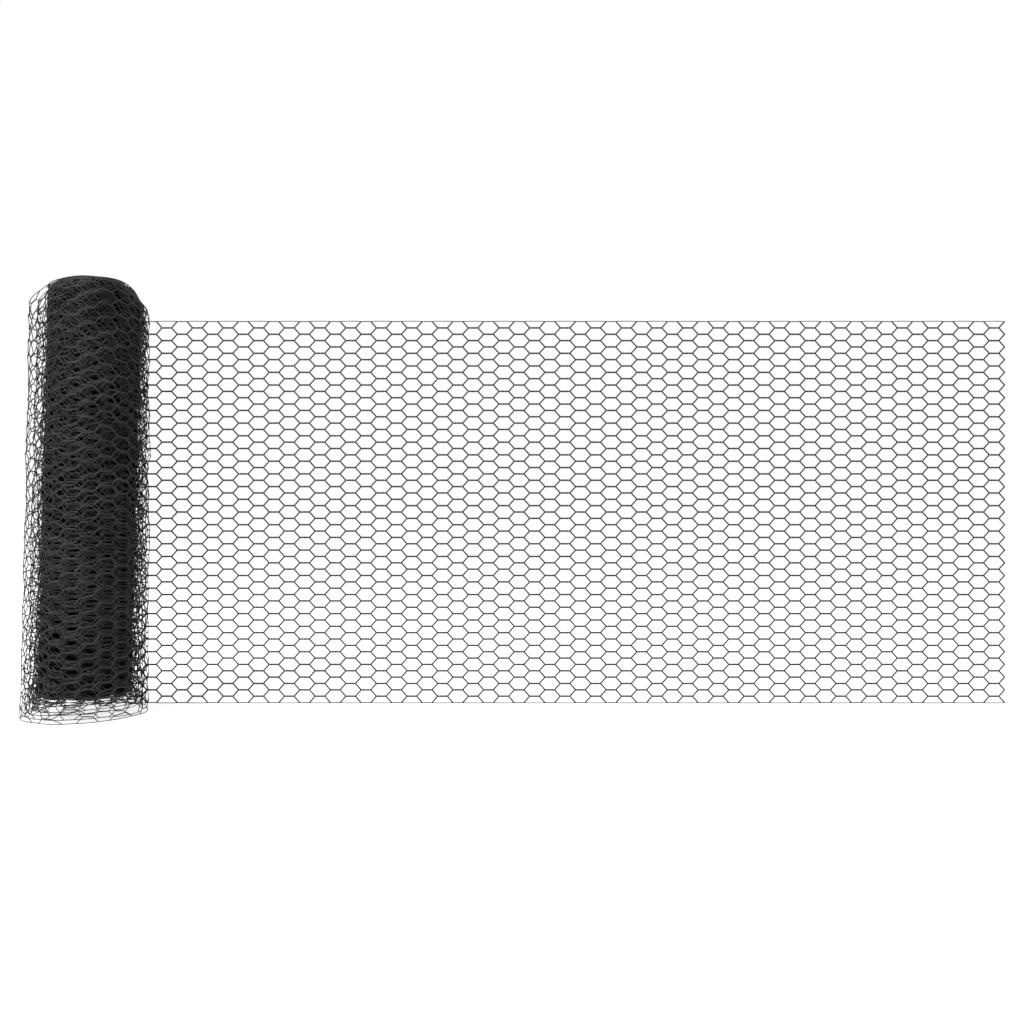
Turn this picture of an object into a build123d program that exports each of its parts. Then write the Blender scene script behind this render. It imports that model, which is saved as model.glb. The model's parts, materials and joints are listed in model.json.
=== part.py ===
"""Roll of hexagonal wire netting standing on its end, with its free end drawn out straight.

The netting is one strip. The part that is still wound is a turned body with a bore. Its turns
show on both ends as rings of selvage wire. The outer turns are loose and lie further apart on
the side away from the run, and the roll has slipped along its axis, so each turn stands a
little higher than the one round it. The part that is drawn out leaves the back of the roll on
a tangent and stands on its lower selvage. Its meshes are cut through a flat strip, which is
divided along its length into panels that meet in the middle of a row of twists.

+Z is up and the floor is z = 0. +X runs from the roll to the free end. The origin is on the
floor, below the middle of the overall box.
"""

import os
from math import ceil, hypot, pi, sqrt

from build123d import *

# The wire and the mesh, in millimetres
WIRE_D = 1.1  # one coated wire
TWIST_D = 2.0  # two of them turned round each other, with their coats pressed together
MESH_H = 13.3  # from twist to twist across one mesh
TWIST_L = 10.6  # length of a twist, along the strip
SLANT_L = 5.4  # length along the strip that a wire takes from twist to twist
MESH_ROWS = 30  # meshes across the strip
SELVAGE_D = 1.0  # the straight wire along each edge

# The drawn-out run
RUN_COLUMNS = 58  # twists along the run, from the tangent to the last whole mesh
FIRST_COLUMN_X = -4.0  # middle of column 0, which is still just on the roll, from the tangent
PANEL_COLUMNS = 6  # twists along one panel
STUB_L = 1.3  # what the cut leaves of the twists at the free end

# The roll
BORE_R = 22.5
TIGHT_TURNS = 12
TIGHT_PITCH = 1.8  # tight turns lie on each other, and their meshes catch in each other a little
LOOSE_TURNS = 5
LOOSE_PITCH = 3.24
CORE_SHIFT = 5.0  # the tight turns lie off the axis of the outermost turn, towards the run
LOOSE_SLIP = 22.0  # how far the tight turns stand above the outermost one
CROWN_H = 6.0  # how far the innermost turns stand above the rest of the tight ones
TURN_GROOVE_H = 3.0  # depth to which neighbouring turns are seen apart at the ends

# Sizes that follow
COLUMN_PITCH = TWIST_L + SLANT_L
NET_W = MESH_ROWS * MESH_H + SELVAGE_D
RUN_L = FIRST_COLUMN_X + RUN_COLUMNS * COLUMN_PITCH + TWIST_L / 2 + SLANT_L + STUB_L
TIGHT_R = BORE_R + TIGHT_TURNS * TIGHT_PITCH
ROLL_R = TIGHT_R + LOOSE_TURNS * LOOSE_PITCH
OUTER_TURN_R = ROLL_R - LOOSE_PITCH / 2
ROLL_X = (ROLL_R - RUN_L) / 2
ROLL_Y = -TWIST_D / 2
RUN_Y = ROLL_Y + ROLL_R + TWIST_D  # back face of the run, whose front face touches the roll


def slip(radius):
    """Height of a turn's lower selvage above the floor."""
    if radius < TIGHT_R:
        return LOOSE_SLIP + CROWN_H * sqrt(1 - (radius / TIGHT_R) ** 2)
    return LOOSE_SLIP * (OUTER_TURN_R - radius) / (OUTER_TURN_R - TIGHT_R)


def rims():
    """Radius of the bore and of each turn's outside, and how far its axis lies off."""
    tight = [(BORE_R + i * TIGHT_PITCH, CORE_SHIFT) for i in range(TIGHT_TURNS + 1)]
    steps = range(1, LOOSE_TURNS + 1)
    loose = [(TIGHT_R + i * LOOSE_PITCH, CORE_SHIFT * (1 - i / LOOSE_TURNS)) for i in steps]
    return tight + loose


def middle_rims():
    """The same for the middle of each turn."""
    return [((a + c) / 2, (b + d) / 2) for (a, b), (c, d) in zip(rims(), rims()[1:])]


def column_x(column):
    """Distance from the tangent to the middle of a column of twists."""
    return FIRST_COLUMN_X + column * COLUMN_PITCH


def opening_above(base_y):
    """Corners of an opening's upper half from base_y upwards, inside the wires round it."""
    lean = SLANT_L / (MESH_H / 2)
    tip_x = TWIST_L / 2 + SLANT_L - WIRE_D / 2 * hypot(lean, 1)
    top_y = MESH_H / 2 - TWIST_D / 2
    base_x = tip_x - base_y * lean
    top_x = tip_x - top_y * lean
    return [(base_x, base_y), (top_x, top_y), (-top_x, top_y), (-base_x, base_y)]


def make_roll():
    """The wound turns, each a ring with a narrower ring of selvage wire at either end."""
    body_h = NET_W - 2 * TURN_GROOVE_H
    with BuildPart() as roll:
        for hole, rim, (radius, shift) in zip(rims(), rims()[1:], middle_rims()):
            foot = slip(radius)
            wire_hole = (radius - SELVAGE_D / 2, shift)
            wire_rim = (radius + SELVAGE_D / 2, shift)
            rings = [(foot + TURN_GROOVE_H, body_h, hole, rim), (foot, NET_W, wire_hole, wire_rim)]
            for base, height, (inner_r, inner_shift), (outer_r, outer_shift) in rings:
                with BuildSketch(Plane.XY.offset(base)):
                    with Locations((ROLL_X + outer_shift, ROLL_Y)):
                        Circle(outer_r)
                    with Locations((ROLL_X + inner_shift, ROLL_Y)):
                        Circle(inner_r, mode=Mode.SUBTRACT)
                extrude(amount=height)
    roll.part.label = "wound_roll"
    return roll.part


def make_panel(index, first, last):
    """The run from the middle of twist column first to the middle of column last.

    The first panel starts at the tangent. Odd columns have whole openings from edge to edge.
    Even columns have half an opening beside each selvage. The last panel ends past its last
    column, where the strip is cut through the twists of the next one.
    """
    start = max(0, column_x(first))
    end = RUN_L if last == RUN_COLUMNS else column_x(last)
    columns = range(first, last + (2 if last == RUN_COLUMNS else 1))
    openings = [
        (column_x(column) - start, SELVAGE_D / 2 + (row + column % 2 / 2) * MESH_H)
        for column in columns
        for row in range(1 - column % 2, MESH_ROWS)
    ]
    edge_openings = [column_x(column) - start for column in columns if column % 2 == 0]
    half = opening_above(SELVAGE_D / 2)
    upper = opening_above(0)
    whole = upper + [(x, -y) for x, y in reversed(upper[1:3])]
    face = Plane(origin=(ROLL_X + start, RUN_Y, 0), x_dir=(1, 0, 0), z_dir=(0, -1, 0))
    with BuildPart() as panel:
        with BuildSketch(face):
            with Locations(((end - start) / 2, NET_W / 2)):
                Rectangle(end - start, NET_W)
            with Locations(*openings):
                Polygon(*whole, align=None, mode=Mode.SUBTRACT)
            with Locations(*[(x, SELVAGE_D / 2) for x in edge_openings]):
                Polygon(*half, align=None, mode=Mode.SUBTRACT)
            with Locations(*[(x, NET_W - SELVAGE_D / 2) for x in edge_openings]):
                Polygon(*half, rotation=180, align=None, mode=Mode.SUBTRACT)
        extrude(amount=TWIST_D, clean=False)
    panel.part.label = f"drawn_run_{index}"
    return panel.part


def wound_length():
    """Length of strip in the turns, each taken as a circle."""
    return sum(2 * pi * radius for radius, _ in middle_rims())


def main():
    """Make and write each piece, one file for each."""
    os.makedirs("parts", exist_ok=True)
    pieces = [make_roll()]
    for index in range(ceil(RUN_COLUMNS / PANEL_COLUMNS)):
        first = index * PANEL_COLUMNS
        last = min(first + PANEL_COLUMNS, RUN_COLUMNS)
        pieces.append(make_panel(index + 1, first, last))
    for piece in pieces:
        export_step(piece, f"parts/{piece.label}.step", write_pcurves=False)
    print(f"netting {RUN_L + wound_length():.0f} mm long and {NET_W:.0f} mm wide")
    print(f"axis of the outermost turn at x {ROLL_X:.2f}, y {ROLL_Y:.2f}; radius {ROLL_R:.2f}")


main()
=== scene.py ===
"""Blender scene of a roll of black coated wire netting with its free end drawn out straight.

The netting is laid out flat first. Each wire is a line of points, each given by its distance
along the strip, its height across the strip and its distance off the strip's face. The course of
the strip then carries these points into place, straight along the run and round the roll in a
spiral whose outer turns are loose. Each line becomes a closed tube.

All sizes are in metres. Distances along the strip are counted from where the run leaves the
roll: above zero they lead to the free end, and below zero they lead to the bore.
"""

import json
import logging
import math
from dataclasses import dataclass, field
from enum import Enum
from typing import Any

import bpy
import numpy as np
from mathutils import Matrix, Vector

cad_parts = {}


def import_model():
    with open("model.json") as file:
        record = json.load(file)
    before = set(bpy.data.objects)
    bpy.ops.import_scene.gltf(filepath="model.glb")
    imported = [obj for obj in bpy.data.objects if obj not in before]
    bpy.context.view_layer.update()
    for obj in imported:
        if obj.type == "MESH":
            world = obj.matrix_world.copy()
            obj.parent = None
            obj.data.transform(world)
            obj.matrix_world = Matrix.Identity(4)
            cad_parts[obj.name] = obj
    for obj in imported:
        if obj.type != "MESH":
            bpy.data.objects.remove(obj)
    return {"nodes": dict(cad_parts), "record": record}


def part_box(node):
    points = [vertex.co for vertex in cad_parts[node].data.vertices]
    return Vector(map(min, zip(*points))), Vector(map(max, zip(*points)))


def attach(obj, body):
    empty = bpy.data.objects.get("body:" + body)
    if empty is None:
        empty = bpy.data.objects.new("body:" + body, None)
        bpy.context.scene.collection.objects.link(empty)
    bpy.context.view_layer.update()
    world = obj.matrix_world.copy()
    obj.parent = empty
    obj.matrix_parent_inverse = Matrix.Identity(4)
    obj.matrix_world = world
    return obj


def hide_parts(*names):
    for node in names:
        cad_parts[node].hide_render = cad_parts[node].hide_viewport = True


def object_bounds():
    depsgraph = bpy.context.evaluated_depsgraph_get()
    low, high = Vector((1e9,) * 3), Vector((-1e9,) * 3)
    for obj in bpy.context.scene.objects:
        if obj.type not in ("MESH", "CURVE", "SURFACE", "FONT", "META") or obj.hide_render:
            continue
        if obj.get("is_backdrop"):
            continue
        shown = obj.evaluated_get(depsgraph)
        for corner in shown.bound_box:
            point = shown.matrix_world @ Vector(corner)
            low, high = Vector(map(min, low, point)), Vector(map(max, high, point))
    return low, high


log = logging.getLogger("netting_roll")

TAU = 2 * math.pi
TENTH = 1e-4  # a tenth of a millimetre
TOUCHING = 1e-6  # places along the strip that are no further apart count as one
ROLL_NODE = "wound_roll"
RUN_NODES = "drawn_run_"  # and a number, from the roll to the free end


@dataclass(frozen=True)
class WireStyle:
    """How finely and how wide wires are drawn.

    Attributes:
        steps: Steps along one twist, an even number.
        turns: Whole turns that the two wires of a twist make round each other.
        sides: Sides of the tube.
        swell: Width of the tube over the wire's.
        edge: Width of a selvage's tube over the wire's.
        pressed: Share of its width that a wire keeps in a twist, where coats are pressed together.
    """

    steps: int
    turns: int
    sides: int
    swell: float
    edge: float
    pressed: float = 1.0


class Detail(Enum):
    """Styles of the wires, from the open run to the hidden tight turns.

    The tubes of the loose turns are narrower, because the photograph shows the roll at a smaller
    scale than the run. Those of the hidden tight turns are far wider than the real wires and run
    through each other, only so that the roll can't be seen through. Selvages are finer where
    they stand alone.
    """

    OPEN = WireStyle(steps=12, turns=2, sides=4, swell=1.25, edge=0.66, pressed=0.85)
    LOOSE = WireStyle(steps=8, turns=2, sides=3, swell=0.68, edge=0.62)
    CLOSE = WireStyle(steps=6, turns=1, sides=3, swell=0.85, edge=0.85)
    SHELL = WireStyle(steps=4, turns=1, sides=3, swell=1.0, edge=1.0)
    CORE = WireStyle(steps=2, turns=1, sides=3, swell=2.7, edge=1.3)


@dataclass(frozen=True)
class FlatWires:
    """Points of all wires while the netting is flat, as arrays of wires by points.

    Attributes:
        along: Distance along the strip.
        height: Height across the strip, from its lower edge.
        off: Distance off the strip's middle plane, outwards from the roll.
        thickness: Share of its full thickness that the wire is drawn with.
    """

    along: np.ndarray
    height: np.ndarray
    off: np.ndarray
    thickness: np.ndarray


@dataclass(frozen=True)
class Netting:
    """Sizes of the flat netting.

    Attributes:
        width: Width of the strip, over its selvages.
        wire: Diameter of one coated wire.
        strand_offset: Distance of each wire from the middle of their twist.
        edge_twist: Width and offset of the wires in a twist round a selvage, over its width.
        hidden_swell: Swell above which wires count as hidden and are packed near both edges.
        packing: How much wider they are there, for each unit of swell above that.
        packing_rows: Rows from an edge over which this dies out.
        fewest_sides: Sides of the widest tube, for which both edges leave room.
        rows: Meshes across the strip.
        twist: Length of a twist.
        slant: Length along the strip that a wire takes from twist to twist.
        first_column: Distance of column 0 along the strip.
        cut_spread: How unevenly the wires are cut at the free end.
        cut_seed: Seed of the random numbers for that.
    """

    width: float
    wire: float = 0.0011
    strand_offset: float = 0.00035
    edge_twist: float = 0.85
    hidden_swell: float = 1.5
    packing: float = 0.7
    packing_rows: float = 2.0
    fewest_sides: int = 3
    rows: int = 30
    twist: float = 0.0106
    slant: float = 0.0054
    first_column: float = -0.004
    cut_spread: float = 0.0006
    cut_seed: int = 5

    @property
    def column_pitch(self) -> float:
        """Distance along the strip from one column of twists to the next."""
        return self.twist + self.slant

    @property
    def margin(self) -> float:
        """Distance from an edge of the strip to the middle of its selvage."""
        return self.strand_offset + self.tube_radius(self.fewest_sides)

    def column_near(self, distance: float) -> float:
        """Distance along the strip of the column nearest to a distance."""
        pitch = self.column_pitch
        return round((distance - self.first_column) / pitch) * pitch + self.first_column

    def tube_radius(self, sides: int) -> float:
        """Corner radius of a tube with few sides that looks as wide as the round wire."""
        # The mean width of a convex outline is its girth divided by pi, and the girth of a
        # regular outline of n sides is 2 n times its corner radius times the sine of pi / n.
        return self.wire * math.pi / (2 * sides * math.sin(math.pi / sides))

    def _packed(self, row: np.ndarray, swell: float) -> np.ndarray:
        """Finds how much wider hidden wires are where their meshes are pushed together.

        It is the packing times the swell above that of hidden wires, times an exponential that
        falls with the rows to the nearer edge. At the edge itself it is zero.

        Args:
            row: Row at which a twist lies.
            swell: Width of the tubes over the wire's.

        Returns:
            The added share of the tubes' width at each twist.
        """
        inside = np.minimum(row, self.rows - row)
        dying = np.clip(inside, 0, 1) * np.exp(-inside / self.packing_rows)
        return self.packing * max(swell - self.hidden_swell, 0) * dying

    def lay_out(self, start: float, end: float, style: WireStyle) -> FlatWires:
        """Lays out every wire flat between two distances along the strip.

        Twists of even columns lie midway between rows, and twists of odd columns lie on them,
        where the outermost ones take in the selvage wires. Through a twist a wire turns about
        the twist's middle: its height is the middle's plus the offset times the cosine of the
        turn, and its distance off the face is the offset times the sine. From twist to twist
        it is straight. Twists round a selvage are closer and finer.

        Args:
            start: Lower distance along the strip.
            end: Upper distance along the strip.
            style: How the wires are drawn.

        Returns:
            The wires from the lower selvage to the upper one.
        """
        pitch = self.column_pitch
        first = math.floor((start - self.first_column) / pitch)
        last = math.ceil((end - self.first_column) / pitch)
        columns = np.arange(first, last + 1)
        wires = np.arange(-1, 2 * self.rows + 1)
        odd_column = (columns % 2 == 1)[None, :]
        odd_wire = (wires % 2 == 1)[:, None]
        row = np.where(odd_column, (wires[:, None] + 1) // 2, wires[:, None] // 2 + 0.5)
        row = np.clip(row, 0, self.rows)
        side = np.where(odd_column == odd_wire, -1.0, 1.0)
        side[0], side[-1] = -1.0, 1.0
        turning = np.ones(row.shape)
        turning[[0, -1]] = odd_column
        edge = np.ones(row.shape)
        edge[[0, 1, -2, -1]] = np.where(odd_column, min(self.edge_twist * style.edge, 1), 1)
        step = np.linspace(0, 1, style.steps + 1)
        thickness = np.repeat(1 + self._packed(row, style.swell)[:, :, None], len(step), axis=2)
        thickness[1:-1, :, 1:-1] *= style.pressed * edge[1:-1, :, None]
        angle = TAU * style.turns * turning[:, :, None] * step
        row_pitch = (self.width - 2 * self.margin) / self.rows
        middle = self.margin + row_pitch * row[:, :, None]
        sway = self.strand_offset * (side * edge)[:, :, None]
        along = self.first_column + columns[:, None] * pitch + (step - 0.5) * self.twist
        kept = ((along >= start - TOUCHING) & (along <= end + TOUCHING)).ravel()
        shape = (len(wires), -1)
        return FlatWires(
            along=np.broadcast_to(along, angle.shape).reshape(shape)[:, kept].copy(),
            height=(middle + sway * np.cos(angle)).reshape(shape)[:, kept],
            off=(sway * np.sin(angle)).reshape(shape)[:, kept],
            thickness=thickness.reshape(shape)[:, kept],
        )

    def cut_unevenly(self, flat: FlatWires) -> None:
        """Shortens each wire a little, and unequally, at the free end."""
        uneven = np.random.default_rng(self.cut_seed).uniform(-1, 0, len(flat.along))
        flat.along[:, -1] += self.cut_spread * uneven


class Ripple:
    """A smooth, seeded unevenness over the strip: a sum of sine waves, about 1 at its highest."""

    HEIGHT = 1.6  # the waves' common height, over their number

    def __init__(self, seed: int, shortest: float, longest: float, waves: int = 7) -> None:
        """Draws the waves.

        Args:
            seed: Seed of the random numbers.
            shortest: Shortest wave length.
            longest: Longest wave length.
            waves: Number of waves.
        """
        draw = np.random.default_rng(seed)
        length = draw.uniform(shortest, longest, waves)
        heading = draw.uniform(0, math.pi, waves)
        self.along_rate = TAU * np.cos(heading) / length
        self.height_rate = TAU * np.sin(heading) / length
        self.phase = draw.uniform(0, TAU, waves)
        self.weight = self.HEIGHT / waves

    def at(self, along: np.ndarray, height: np.ndarray) -> np.ndarray:
        """Adds the waves up: each is the sine of both distances times their rates, plus a phase.

        Args:
            along: Distance along the strip.
            height: Height across it.

        Returns:
            The sum over the number of waves, times their common height.
        """
        total = np.zeros(np.broadcast(along, height).shape)
        for rate_a, rate_h, phase in zip(self.along_rate, self.height_rate, self.phase):
            total += np.sin(rate_a * along + rate_h * height + phase)
        return total * self.weight


@dataclass(frozen=True)
class Unevenness:
    """A ripple whose size changes from turn to turn of the roll.

    Attributes:
        ripple: The ripple.
        turns: Turns, counted inwards, at which a size is given.
        tenths: Sizes there, in tenths of a millimetre.
    """

    ripple: Ripple
    turns: tuple[float, ...]
    tenths: tuple[float, ...]

    def size_at(self, turns: np.ndarray) -> np.ndarray:
        """Size in metres after a number of turns."""
        return np.interp(turns, self.turns, self.tenths) * TENTH

    def at(self, turns: np.ndarray, along: np.ndarray, height: np.ndarray) -> np.ndarray:
        """Displacement in metres, never more than the size."""
        return self.size_at(turns) * np.clip(self.ripple.at(along, height), -1, 1)


@dataclass(frozen=True)
class Handling:
    """Unevenness that winding and handling have left in the netting of the roll.

    Attributes:
        sway: Of the strip, towards the roll's axis and back.
        slip: Of whole turns, along the roll's axis.
        sideways: Of single meshes, along the strip.
        upwards: Of single meshes, across the strip.
        wander: Of rows of meshes, across the strip.
    """

    sway: Unevenness = Unevenness(
        Ripple(11, 0.03, 0.11), (0, 0.4, 2.5, 6, 7, 17), (0, 13, 24, 12, 3, 2)
    )
    slip: Unevenness = Unevenness(Ripple(53, 0.06, 0.25), (0.6, 1.6, 4.5, 17), (0, 15, 15, 25))
    sideways: Unevenness = Unevenness(Ripple(23, 0.02, 0.05), (0, 0.3, 5, 7, 17), (0, 12, 11, 7, 7))
    upwards: Unevenness = Unevenness(Ripple(37, 0.02, 0.05), (0, 0.3, 5, 7, 17), (0, 12, 11, 7, 7))
    wander: Unevenness = Unevenness(Ripple(41, 0.12, 0.5), (0, 0.5, 2, 17), (0, 15, 60, 70))


@dataclass
class Course:
    """Where the strip runs: straight along the run, and round the roll down to the bore.

    Attributes:
        axis: X and Y of the outermost turn's axis.
        radius: Radius of the roll.
        run_y: Y of the run's middle plane.
        bore_radius: Radius of the bore.
        core_shift: How far the tight turns lie off the axis, towards the run.
        width: Width of the strip.
        handling: Unevenness of the roll's netting.
        tight_radius: Outer radius of the tight turns.
        tight_turns: Number of tight turns.
        loose_turns: Number of turns round them that are more or less loose.
        matched_turns: Tight turns that, like the loose ones, take up whole repeats of the mesh.
        repeat: Length of one repeat of the mesh along the strip.
        bore_margin: How far outside the bore the innermost turn's middle plane lies.
        closing: Angle over which the strip comes from the run's plane to the roll's radius.
        loose_lift: How far the tight turns stand above the outermost one.
        crown: How far the innermost turns stand above the rest of the tight ones.
        loose_side: Angle at which the loose turns hang out furthest.
        front_rise: Share of the tight turns' rise that all upper selvages have in front.
        front_power: How strongly this is confined to the front.
        droop: Share of their rise that the upper selvages lose opposite the loose side.
        droop_power: How strongly this is confined to that side.
        sag: How far the outermost turn's upper selvage hangs below the run's on that side.
        shoulder: Share of their rise that the upper selvages lose on the loose side.
        shoulder_power: How strongly this is confined to that side.
        corner: How far it hangs at the side away from the run, besides.
        corner_side: Angle at which it does so.
        corner_reach: Angle to either side over which this dies out.
        hang_power: How strongly all this is confined to the top, where the meshes give way.
        lean: How far the tight turns lean towards the run over half the roll's height.
        bulge: How much further out the outermost turn lies on the side of the run.
        pinch: How far the outermost turn is drawn in at the top, on the loose side.
        bunching: How much closer to the tight turns the loose ones lie there.
        battering: How much more uneven the loose turns are at the foot than elsewhere.
        battered_fade: Innermost loose turns over which this dies out.
        foot: Height above the lower edge over which it dies out.
        squash: How far meshes are pushed towards the nearer end of the roll.
        squash_reach: How far from the end they are pushed the most.
        squash_onset: Turns from the run over which this sets in.
        edge_reach: Distance from a selvage over which its hold on the wires dies out.
        samples: Angles at which the spiral is measured.
    """

    axis: tuple[float, float]
    radius: float
    run_y: float
    bore_radius: float
    core_shift: float
    width: float
    handling: Handling = Handling()
    tight_radius: float = 0.0441
    tight_turns: float = 11.35
    loose_turns: int = 6
    matched_turns: int = 2
    repeat: float = 0.032
    bore_margin: float = 0.0007
    closing: float = 0.5
    loose_lift: float = 0.0235
    crown: float = 0.0027
    loose_side: float = math.radians(112)
    front_rise: float = 0.9
    front_power: float = 1.5
    droop: float = 0.69
    droop_power: int = 4
    sag: float = 0.005
    shoulder: float = 0.15
    shoulder_power: int = 2
    corner: float = 0.010
    corner_side: float = math.radians(86)
    corner_reach: float = math.radians(19)
    hang_power: int = 5
    lean: float = 0.0052
    bulge: float = 0.0024
    pinch: float = 0.0068
    bunching: float = 1.6
    battering: float = 2.2
    battered_fade: float = 2.0
    foot: float = 0.03
    squash: float = 0.0048
    squash_reach: float = 0.03
    squash_onset: float = 0.5
    edge_reach: float = 0.022
    samples: int = 6000
    angles: np.ndarray = field(init=False)
    lengths: np.ndarray = field(init=False)

    def __post_init__(self) -> None:
        """Measures the spiral, so that a distance along the strip gives an angle on it.

        Lengths are those of the spiral's chords at half the strip's height. Each loose turn and
        each matched one is then stretched or shortened to the nearest whole number of repeats
        of the mesh, so that the columns of neighbouring turns lie over each other.
        """
        self.angles = np.linspace(0, TAU * (self.loose_turns + self.tight_turns), self.samples)
        x, y = self._spiral(self.angles, np.full(self.angles.shape, self.width / 2))[:2]
        chords = np.hypot(np.diff(x), np.diff(y))
        self.lengths = np.concatenate(([0.0], np.cumsum(chords)))
        turns = TAU * np.arange(self.loose_turns + self.matched_turns + 1)
        taken = np.interp(turns, self.angles, self.lengths)
        matched = np.round(np.diff(taken) / self.repeat) * self.repeat
        gain = np.concatenate(([0.0], np.cumsum(matched))) - taken
        self.lengths = self.lengths + np.interp(self.lengths, taken, gain)

    @property
    def tight_pitch(self) -> float:
        """Distance from one tight turn to the next."""
        return (self.tight_radius - self.bore_radius - self.bore_margin) / self.tight_turns

    def distance_at(self, turns: float) -> float:
        """Distance along the strip after a number of turns, below zero."""
        return -float(np.interp(turns * TAU, self.angles, self.lengths))

    def _share(self, turns: np.ndarray) -> np.ndarray:
        """Looseness of a turn: 1 at the outermost, 0 from the first tight one inwards."""
        return np.clip(1 - turns / self.loose_turns, 0, 1)

    def _spiral(self, angle: np.ndarray, height: np.ndarray) -> tuple[np.ndarray, ...]:
        """Finds the spiral's place at an angle, before any unevenness.

        The looseness of the turn sets radius and shift between their values at the outermost
        turn and at the tight ones. On the loose side and near the top it is raised to a higher
        power, which brings all but the outermost turn together. The tight turns' radius falls
        evenly down to the bore's. Loose turns lie further out on the side of the run, by the
        bulge times their looseness times the squared sine of the angle. Angles start at the
        back, and a quarter turn leads to the side away from the run.

        Args:
            angle: Angle turned since the strip left the run.
            height: Height across the strip.

        Returns:
            X and Y of the strip's middle plane, and X and Y of its outward direction.
        """
        turns = angle / TAU
        share = self._share(turns)
        away = np.clip(np.cos(angle - self.loose_side), 0, 1) * height / self.width
        power = share ** (1 + self.bunching * away)
        tight = self.tight_radius - self.tight_pitch * np.clip(turns - self.loose_turns, 0, None)
        radius = tight + power * (self.radius - self.tight_radius)
        radius -= self.pinch * away * share
        start = self.run_y - self.axis[1] - self.radius
        radius += start * np.exp(-((angle / self.closing) ** 2))
        lean = self.lean * (2 * height / self.width - 1) * (1 - share)
        out_x, out_y = -np.sin(angle), np.cos(angle)
        bulge = self.bulge * share * np.clip(out_x, 0, 1) ** 2
        x = self.axis[0] + self.core_shift * (1 - power) + lean + bulge + radius * out_x
        y = self.axis[1] + radius * out_y
        return x, y, out_x, out_y

    def _selvages(self, angle: np.ndarray, along: np.ndarray) -> tuple[np.ndarray, ...]:
        """Finds how far the strip's lower and upper edges stand above those of the run.

        The lower edge rises evenly over the loose turns, and inside them along a quarter
        ellipse. The upper edge does the same, but in front, a quarter turn past the loose side,
        every loose turn has most of the rise. On the loose side and opposite it every turn
        loses part of the rise. The loose turns hang further down opposite it, and at the corner
        by a bell curve of the angle. Turns have slipped down unevenly from there.

        Args:
            angle: Angle turned since the strip left the run.
            along: Distance along the strip.

        Returns:
            The rise of the lower edge, that of the upper one, and how much the latter loses.
        """
        turns = angle / TAU
        share = self._share(turns)
        inward = np.clip(turns - self.loose_turns, 0, None) * self.tight_pitch / self.tight_radius
        crown = self.crown * np.sqrt(1 - np.clip(1 - inward, 0, 1) ** 2)
        uneven = self.handling.slip
        slip = uneven.at(turns, along, np.zeros(along.shape)) - uneven.size_at(turns)
        past = angle - self.loose_side
        front = self.front_rise * np.clip(np.sin(past), 0, 1) ** self.front_power
        away = np.clip(np.cos(past), 0, 1) ** self.shoulder_power
        opposite = np.clip(-np.cos(past), 0, 1) ** self.droop_power
        lower = self.loose_lift * (1 - share) + crown + slip
        upper = self.loose_lift * (1 - share * (1 - front)) + crown + slip
        beside = (angle % TAU - self.corner_side) / self.corner_reach
        fall = self.sag * opposite + self.corner * np.exp(-(beside**2))
        hang = upper * (self.droop * opposite + self.shoulder * away)
        return lower, upper, hang + fall * share

    def _pushed(self, distance: np.ndarray) -> np.ndarray:
        """How far a mesh is pushed towards an end of the roll at a distance from it."""
        reach = distance / self.squash_reach
        return self.squash * reach * np.exp(1 - reach)

    def carry(self, flat: FlatWires) -> tuple[np.ndarray, np.ndarray]:
        """Carries flat points to their places.

        A point is moved along the strip by the sideways unevenness. Across the strip it is moved
        by the upwards one and by a slow wander, which both fade towards the selvages. At the
        foot of the loose turns it is moved further, apart from the wander. Towards both ends of
        the roll meshes are squashed. Off the strip's plane a point is moved inwards only, so
        nothing stands proud of the spiral.

        Args:
            flat: Points of the flat netting.

        Returns:
            The points, and the strip's outward direction at each, both as arrays of wires by
            points by 3.
        """
        made = self.handling
        edge_distance = np.minimum(flat.height, self.width - flat.height)
        within = np.clip(edge_distance / self.edge_reach, 0, 1)
        turns = np.interp(-flat.along, self.lengths, self.angles) / TAU
        battered = np.clip((self.loose_turns - turns) / self.battered_fade, 0, 1)
        ruffle = 1 + self.battering * battered * np.exp(-flat.height / self.foot)
        along = flat.along + ruffle * made.sideways.at(turns, flat.along, flat.height)
        angle = np.interp(-along, self.lengths, self.angles)
        upwards = ruffle * made.upwards.at(turns, flat.along, flat.height)
        wander = made.wander.at(turns, flat.along, flat.height)
        pushed = self._pushed(self.width - flat.height) - self._pushed(flat.height)
        height = flat.height + within * (upwards + wander)
        height += np.clip(turns / self.squash_onset, 0, 1) * pushed
        lower, upper, hang = self._selvages(angle, flat.along)
        level = height / self.width
        x, y, out_x, out_y = self._spiral(angle, flat.height)
        off = flat.off + made.sway.at(turns, flat.along, flat.height) - made.sway.size_at(turns)
        points = np.stack(
            (
                x + off * out_x + np.clip(along, 0, None),
                y + off * out_y,
                height + lower + (upper - lower) * level - hang * level**self.hang_power,
            ),
            axis=-1,
        )
        outward = np.stack((out_x, out_y, np.zeros(out_x.shape)), axis=-1)
        return points, outward


def unit(vectors: np.ndarray) -> np.ndarray:
    """Vectors along the last axis, each divided by its length."""
    return vectors / np.linalg.norm(vectors, axis=-1, keepdims=True)


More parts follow.
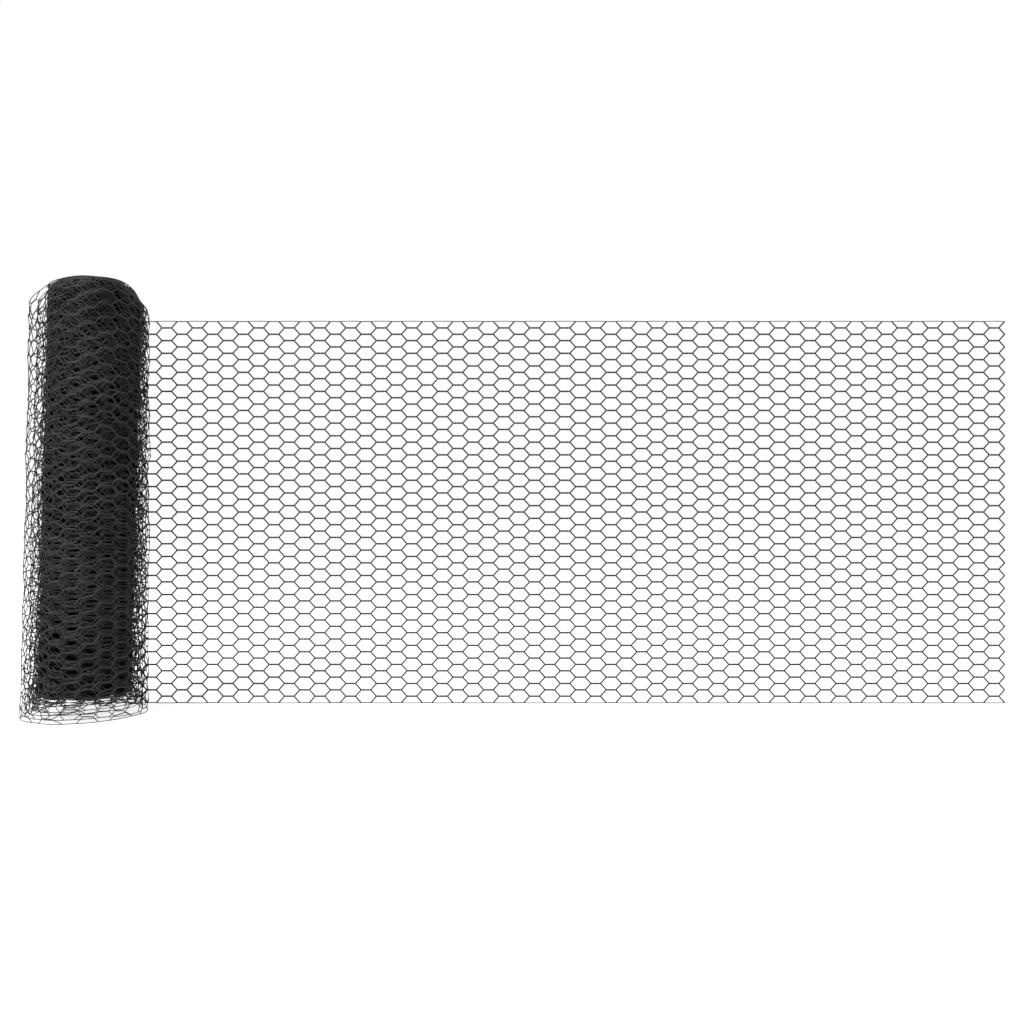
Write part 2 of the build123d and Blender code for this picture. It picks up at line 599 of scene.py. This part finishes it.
class TubeMesh:
    """Closed tubes of few sides round many lines at once."""

    def __init__(
        self, points: np.ndarray, outward: np.ndarray, radius: np.ndarray, sides: int
    ) -> None:
        """Works out the tubes.

        At each point a ring of corners lies across the line: the point plus the radius times
        the cosine of the corner's angle along one direction and its sine along the other. The
        first direction is the strip's outward one, squared to the line. A corner of a
        four-sided tube points that way, and a side of a three-sided one.

        Args:
            points: Lines by points by 3.
            outward: The strip's outward direction at each point.
            radius: Corner radius of the tube at each point.
            sides: Number of sides.
        """
        self.lines, self.length = points.shape[:2]
        self.sides = sides
        heading = unit(np.gradient(points, axis=1))
        across = unit(np.cross(heading, outward))
        outward = np.cross(across, heading)
        corner = (np.arange(sides) + sides % 2 / 2) * TAU / sides
        ring = (
            np.cos(corner)[:, None] * outward[:, :, None, :]
            + np.sin(corner)[:, None] * across[:, :, None, :]
        )
        reach = radius[:, :, None, None] * ring
        self.corners = (points[:, :, None, :] + reach).reshape(-1, 3)

    def _wall_faces(self) -> np.ndarray:
        """Numbers the faces along the tubes, each between two rings and two corners.

        Returns:
            Corner numbers of the four-sided faces.
        """
        ring = np.arange(self.lines * self.length).reshape(self.lines, self.length)[:, :-1]
        rings = ring.reshape(-1, 1) * self.sides
        corner = np.arange(self.sides)
        first = (rings + corner).reshape(-1)
        second = (rings + (corner + 1) % self.sides).reshape(-1)
        return np.stack((first, second, second + self.sides, first + self.sides), axis=1)

    def _end_faces(self) -> np.ndarray:
        """Numbers the faces that close the tubes, first at their starts, then at their ends.

        Returns:
            Corner numbers of the faces, which have as many sides as the tubes.
        """
        start = np.arange(self.lines)[:, None] * self.length * self.sides
        end = start + (self.length - 1) * self.sides
        order = np.arange(self.sides)
        return np.concatenate((start + order[::-1], end + order))

    def build(self, name: str, materials: list[bpy.types.Material]) -> bpy.types.Object:
        """Makes the mesh and its object.

        Args:
            name: Name of the object.
            materials: The coating, and if there is a second one, the finish of the far ends.

        Returns:
            The object, linked to the scene.
        """
        walls, ends = self._wall_faces(), self._end_faces()
        loops = np.concatenate((walls.ravel(), ends.ravel())).astype(np.int32)
        starts = np.concatenate((
            np.arange(len(walls)) * walls.shape[1],
            walls.size + np.arange(len(ends)) * self.sides,
        )).astype(np.int32)
        mesh = bpy.data.meshes.new(name)
        mesh.vertices.add(len(self.corners))
        mesh.vertices.foreach_set("co", self.corners.astype(np.float32).ravel())
        mesh.loops.add(len(loops))
        mesh.loops.foreach_set("vertex_index", loops)
        mesh.polygons.add(len(starts))
        mesh.polygons.foreach_set("loop_start", starts)
        smooth = np.arange(len(starts)) < len(walls)
        mesh.polygons.foreach_set("use_smooth", smooth)
        for material in materials:
            mesh.materials.append(material)
        if len(materials) > 1:
            cut = np.arange(len(starts)) >= len(starts) - self.lines
            mesh.polygons.foreach_set("material_index", cut.astype(np.int32))
        mesh.update(calc_edges=True)
        mesh.validate()
        piece = bpy.data.objects.new(name, mesh)
        bpy.context.scene.collection.objects.link(piece)
        return piece


class Paint:
    """A new material, whose nodes are set up and joined in few words."""

    def __init__(self, name: str) -> None:
        """Starts the material with its shader and the piece's own coordinates.

        Args:
            name: Name of the material.
        """
        self.material = bpy.data.materials.new(name)
        self.material.use_nodes = True
        self.nodes, self.links = self.material.node_tree.nodes, self.material.node_tree.links
        self.shader = self.nodes["Principled BSDF"]
        self.place = self.nodes.new("ShaderNodeTexCoord").outputs["Object"]

    def noise(self, size: float, detail: float = 2.0) -> bpy.types.NodeSocket:
        """Adds smooth noise.

        Args:
            size: Size of its patches.
            detail: How many finer layers of noise break up their outline.

        Returns:
            Its value, between 0 and 1.
        """
        noise = self.nodes.new("ShaderNodeTexNoise")
        noise.inputs["Scale"].default_value = 1 / size
        noise.inputs["Detail"].default_value = detail
        self.links.new(self.place, noise.inputs["Vector"])
        return noise.outputs["Fac"]

    def blend_colour(
        self,
        value: bpy.types.NodeSocket,
        colours: tuple[tuple[float, float, float], ...],
        between: tuple[float, float] = (0.0, 1.0),
    ) -> None:
        """Lets the colour of the surface follow a value.

        Args:
            value: What it follows.
            colours: The colours below and above the two values between which they blend.
            between: Those two values.
        """
        blend = self.nodes.new("ShaderNodeValToRGB")
        for stop, colour, position in zip(blend.color_ramp.elements, colours, between):
            stop.position = position
            stop.color = (*colour, 1)
        self.links.new(value, blend.inputs["Fac"])
        self.links.new(blend.outputs["Color"], self.shader.inputs["Base Color"])

    def blend_roughness(
        self,
        value: bpy.types.NodeSocket,
        roughness: tuple[float, float],
        between: tuple[float, float],
    ) -> None:
        """Lets the roughness of the surface follow a value.

        Args:
            value: What it follows.
            roughness: Lowest and highest roughness.
            between: The two values between which it rises.
        """
        gloss = self.nodes.new("ShaderNodeMapRange")
        gloss.inputs["From Min"].default_value = between[0]
        gloss.inputs["From Max"].default_value = between[1]
        gloss.inputs["To Min"].default_value = roughness[0]
        gloss.inputs["To Max"].default_value = roughness[1]
        self.links.new(value, gloss.inputs["Value"])
        self.links.new(gloss.outputs["Result"], self.shader.inputs["Roughness"])

    def emboss(self, value: bpy.types.NodeSocket, height: float, strength: float) -> None:
        """Lets the relief of the surface follow a value.

        Args:
            value: What it follows.
            height: Height where the value is 1.
            strength: How strongly the relief shows.
        """
        bump = self.nodes.new("ShaderNodeBump")
        bump.inputs["Strength"].default_value = strength
        bump.inputs["Distance"].default_value = height
        self.links.new(value, bump.inputs["Height"])
        self.links.new(bump.outputs["Normal"], self.shader.inputs["Normal"])


@dataclass(frozen=True)
class Coating:
    """Semi-matt black plastic coat on the wire, with a faint pebbled skin.

    Attributes:
        name: Name of the material.
        colour: Colour of the coat.
        rubbed: Its colour where it has been rubbed.
        rubbing: Noise at which the rubbing starts, and at which it is full.
        gloss: Lowest and highest roughness.
        glossing: Noise between which the roughness rises.
        patch: Size of a patch of colour or gloss.
        patch_detail: How many finer layers of noise break up its outline.
        pebble: Size of the skin's pebbles.
        relief: Height of the pebbles.
        relief_strength: How strongly they show.
    """

    name: str = "black_coating"
    colour: tuple[float, float, float] = (0.018, 0.018, 0.019)
    rubbed: tuple[float, float, float] = (0.045, 0.045, 0.047)
    rubbing: tuple[float, float] = (0.42, 0.72)
    gloss: tuple[float, float] = (0.42, 0.6)
    glossing: tuple[float, float] = (0.3, 0.7)
    patch: float = 0.03
    patch_detail: float = 3.0
    pebble: float = 0.0008
    relief: float = 0.00003
    relief_strength: float = 0.5

    def material(self) -> bpy.types.Material:
        """Makes the material, whose colour and gloss drift from patch to patch.

        Returns:
            The material.
        """
        paint = Paint(self.name)
        patches = paint.noise(self.patch, self.patch_detail)
        paint.blend_colour(patches, (self.colour, self.rubbed), self.rubbing)
        paint.blend_roughness(patches, self.gloss, self.glossing)
        paint.emboss(paint.noise(self.pebble), self.relief, self.relief_strength)
        return paint.material


@dataclass(frozen=True)
class CutSteel:
    """Bare steel that shows where a coated wire has been cut.

    Attributes:
        name: Name of the material.
        dull: Darkest colour of the cut face.
        bright: Brightest colour of the cut face.
        roughness: Roughness of the cut face.
        scratch: Distance between the marks of the cutter.
    """

    name: str = "cut_steel"
    dull: tuple[float, float, float] = (0.18, 0.18, 0.18)
    bright: tuple[float, float, float] = (0.42, 0.42, 0.41)
    roughness: float = 0.4
    scratch: float = 0.0002

    def material(self) -> bpy.types.Material:
        """Makes the material, with cutter marks across the face.

        Returns:
            The material.
        """
        paint = Paint(self.name)
        paint.shader.inputs["Metallic"].default_value = 1.0
        paint.shader.inputs["Roughness"].default_value = self.roughness
        paint.blend_colour(paint.noise(self.scratch), (self.dull, self.bright))
        return paint.material


@dataclass
class NettingRoll:
    """The whole strip of netting: the drawn-out run and the turns of the roll.

    Attributes:
        netting: Sizes of the flat netting.
        course: Where the strip runs.
        coating: Material of the wires.
        cut_steel: Material of the cut ends.
        airy_turns: Loose turns that touch nothing and are drawn with the finest wires.
        shell_turns: Tight turns that can be seen from outside and are drawn more finely.
        bore_turns: Tight turns that can be seen from the bore, likewise.
    """

    netting: Netting
    course: Course
    coating: bpy.types.Material
    cut_steel: bpy.types.Material
    airy_turns: int = 4
    shell_turns: int = 1
    bore_turns: int = 1

    def _piece(
        self, name: str, flat: FlatWires, style: WireStyle, node: str, *, cut: bool = False
    ) -> None:
        """Carries flat wires into place, makes their tubes and puts them in their solid's place.

        Args:
            name: Name of the piece.
            flat: The wires, laid out flat.
            style: How they are drawn.
            node: Name of the solid that the piece stands for.
            cut: Whether their far ends are the cut edge of the strip.
        """
        points, outward = self.course.carry(flat)
        width = np.full((len(points), 1), style.swell)
        width[[0, -1]] = style.edge
        radius = self.netting.tube_radius(style.sides) * width * flat.thickness
        materials = [self.coating, self.cut_steel] if cut else [self.coating]
        tubes = TubeMesh(points, outward, radius, style.sides)
        piece = tubes.build(name, materials)
        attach(piece, "root")
        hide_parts(node)
        log.info("%s: %d faces", name, len(piece.data.polygons))

    def build_run(self, nodes: list[str]) -> None:
        """Makes the run panel by panel, each in the place of its solid.

        Args:
            nodes: Names of the run's solids, from the roll to the free end.
        """
        style = Detail.OPEN.value
        for node in nodes:
            low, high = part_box(node)
            start = self.netting.column_near(low.x - self.course.axis[0])
            end = high.x - self.course.axis[0]
            last = node == nodes[-1]
            if not last:
                end = self.netting.column_near(end)
            flat = self.netting.lay_out(start, end, style)
            if last:
                self.netting.cut_unevenly(flat)
            self._piece(f"netting_{node}", flat, style, node, cut=last)

    def build_roll(self, node: str) -> None:
        """Makes the turns: each loose turn, the tight turns that can be seen, and those between.

        Args:
            node: Name of the roll's solid.
        """
        loose = self.course.loose_turns
        inner_end = loose + self.course.tight_turns
        ends = [*range(loose + 1), loose + self.shell_turns, inner_end - self.bore_turns, inner_end]
        details = [Detail.LOOSE] * self.airy_turns + [Detail.CLOSE] * (loose - self.airy_turns)
        details += [Detail.SHELL, Detail.CORE, Detail.SHELL]
        names = [f"loose_turn_{turn + 1}" for turn in range(loose)]
        names += ["tight_turns_outer", "tight_turns_inner", "bore_turn"]
        cuts = [self.netting.column_near(self.course.distance_at(end)) for end in ends]
        for name, detail, outer, inner in zip(names, details, cuts, cuts[1:]):
            flat = self.netting.lay_out(inner, outer, detail.value)
            self._piece(name, flat, detail.value, node)


@dataclass(frozen=True)
class Lamp:
    """A soft square lamp.

    Attributes:
        name: Name of the lamp.
        place: Where it stands.
        aim: What it points at.
        size: Side of the square.
        power: Power in watts.
    """

    name: str
    place: tuple[float, float, float]
    aim: tuple[float, float, float]
    size: float
    power: float


@dataclass(frozen=True)
class Studio:
    """White studio, with the camera square to the run as in the photograph.

    Attributes:
        image_px: Width and height of the picture.
        focal_px: Focal length in pixels.
        run_height_px: Height of the run in the picture.
        free_end_px: How far from the picture's left edge the free end lies.
        sensor_width: Width of the camera's sensor in millimetres.
        fill: Light from all round.
        floor_reach: Distance from the origin to the floor's edges.
        floor_albedo: Brightness of the floor as the object sees it.
        floor_veil: White that the floor shows the camera besides its own light.
        lamps: The lamps.
    """

    image_px: float = 1024.0
    focal_px: float = 1050.0
    run_height_px: float = 383.0
    free_end_px: float = 1005.5
    sensor_width: float = 36.0
    fill: float = 0.4
    floor_reach: float = 30.0
    floor_albedo: float = 0.6
    floor_veil: float = 0.82
    lamps: tuple[Lamp, ...] = (
        Lamp("key", (-1.2, -1.6, 2.2), (-0.44, 0.0, 0.2), size=0.8, power=56),
        Lamp("side", (1.4, -1.3, 1.2), (0.1, 0.0, 0.2), size=1.2, power=5),
    )

    def add_camera(self, free_end_x: float, run_y: float, run_height: float) -> None:
        """Places the camera so that the run has its size and place in the picture.

        Args:
            free_end_x: X of the free end.
            run_y: Y of the run's middle plane.
            run_height: Height of the run.
        """
        distance = self.focal_px * run_height / self.run_height_px
        offset = (self.free_end_px - self.image_px / 2) * distance / self.focal_px
        data = bpy.data.cameras.new("camera")
        data.sensor_width = self.sensor_width
        data.lens = self.sensor_width * self.focal_px / self.image_px
        camera = bpy.data.objects.new("camera", data)
        camera.location = (free_end_x - offset, run_y - distance, run_height / 2)
        camera.rotation_euler = (math.pi / 2, 0, 0)
        bpy.context.scene.collection.objects.link(camera)
        bpy.context.scene.camera = camera

    def add_world(self) -> None:
        """Makes the world white where it is seen or mirrored, and an even fill light elsewhere."""
        world = bpy.data.worlds.new("white_studio")
        world.use_nodes = True
        nodes, links = world.node_tree.nodes, world.node_tree.links
        seen = nodes["Background"]
        lighting = nodes.new("ShaderNodeBackground")
        for background, strength in ((seen, 1.0), (lighting, self.fill)):
            background.inputs["Color"].default_value = (1, 1, 1, 1)
            background.inputs["Strength"].default_value = strength
        path = nodes.new("ShaderNodeLightPath")
        mirrored = nodes.new("ShaderNodeMath")
        mirrored.operation = "MAXIMUM"
        links.new(path.outputs["Is Camera Ray"], mirrored.inputs[0])
        links.new(path.outputs["Is Glossy Ray"], mirrored.inputs[1])
        mix = nodes.new("ShaderNodeMixShader")
        links.new(mirrored.outputs["Value"], mix.inputs["Fac"])
        links.new(lighting.outputs["Background"], mix.inputs[1])
        links.new(seen.outputs["Background"], mix.inputs[2])
        links.new(mix.outputs["Shader"], nodes["World Output"].inputs["Surface"])
        bpy.context.scene.world = world

    def _floor_material(self) -> bpy.types.Material:
        """Makes a pale diffuse material that adds white of its own where the camera sees it.

        Returns:
            The material.
        """
        made = bpy.data.materials.new("pale_floor")
        made.use_nodes = True
        nodes, links = made.node_tree.nodes, made.node_tree.links
        nodes.remove(nodes["Principled BSDF"])
        paint = nodes.new("ShaderNodeBsdfDiffuse")
        paint.inputs["Color"].default_value = (*(self.floor_albedo,) * 3, 1)
        veil = nodes.new("ShaderNodeEmission")
        path = nodes.new("ShaderNodeLightPath")
        strength = nodes.new("ShaderNodeMath")
        strength.operation = "MULTIPLY"
        strength.inputs[1].default_value = self.floor_veil
        links.new(path.outputs["Is Camera Ray"], strength.inputs[0])
        links.new(strength.outputs["Value"], veil.inputs["Strength"])
        both = nodes.new("ShaderNodeAddShader")
        links.new(paint.outputs["BSDF"], both.inputs[0])
        links.new(veil.outputs["Emission"], both.inputs[1])
        links.new(both.outputs["Shader"], nodes["Material Output"].inputs["Surface"])
        return made

    def add_floor(self) -> None:
        """Lays a wide pale floor at z = 0, just below the lower selvage."""
        mesh = bpy.data.meshes.new("floor")
        reach = self.floor_reach
        corners = [(-reach, -reach, 0), (reach, -reach, 0), (reach, reach, 0), (-reach, reach, 0)]
        mesh.from_pydata(corners, [], [(0, 1, 2, 3)])
        mesh.materials.append(self._floor_material())
        floor = bpy.data.objects.new("floor", mesh)
        bpy.context.scene.collection.objects.link(floor)
        floor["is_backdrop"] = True

    def add_lamps(self) -> None:
        """Adds the lamps, each turned to what it points at."""
        for lamp in self.lamps:
            data = bpy.data.lights.new(lamp.name, "AREA")
            data.size = lamp.size
            data.energy = lamp.power
            made = bpy.data.objects.new(lamp.name, data)
            made.location = lamp.place
            sight = Vector(lamp.aim) - Vector(lamp.place)
            made.rotation_euler = sight.to_track_quat("-Z", "Y").to_euler()
            bpy.context.scene.collection.objects.link(made)

    def set_view(self) -> None:
        """Shows colours as they are written."""
        bpy.context.scene.view_settings.view_transform = "Standard"


def course_in(frame: dict[str, Any], first_run_node: str) -> Course:
    """Fits the strip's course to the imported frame.

    Args:
        frame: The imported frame.
        first_run_node: Name of the run's solid beside the roll.

    Returns:
        The course.
    """
    bore = next(mount for mount in frame["record"]["mounts"] if mount["name"] == "core_bore")
    roll_low, roll_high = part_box(ROLL_NODE)
    run_low, run_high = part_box(first_run_node)
    axis = ((roll_low.x + roll_high.x) / 2, (roll_low.y + roll_high.y) / 2)
    return Course(
        axis=axis,
        radius=(roll_high.x - roll_low.x) / 2,
        run_y=(run_low.y + run_high.y) / 2,
        bore_radius=bore["dims"]["r_mm"] / 1000,
        core_shift=bore["pos_m"][0] - axis[0],
        width=run_high.z - run_low.z,
    )


def main() -> None:
    """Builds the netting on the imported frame, and the studio round it."""
    logging.basicConfig(level=logging.INFO, format="%(name)s: %(message)s")
    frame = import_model()
    solid_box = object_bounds()
    run_nodes = sorted(
        (name for name in frame["nodes"] if name.startswith(RUN_NODES)),
        key=lambda name: int(name.removeprefix(RUN_NODES)),
    )
    course = course_in(frame, run_nodes[0])
    netting = Netting(width=course.width)
    strip = NettingRoll(netting, course, Coating().material(), CutSteel().material())
    strip.build_run(run_nodes)
    strip.build_roll(ROLL_NODE)
    studio = Studio()
    studio.set_view()
    studio.add_world()
    studio.add_floor()
    studio.add_lamps()
    studio.add_camera(solid_box[1].x, course.run_y, course.width)


if __name__ == "__main__":
    main()
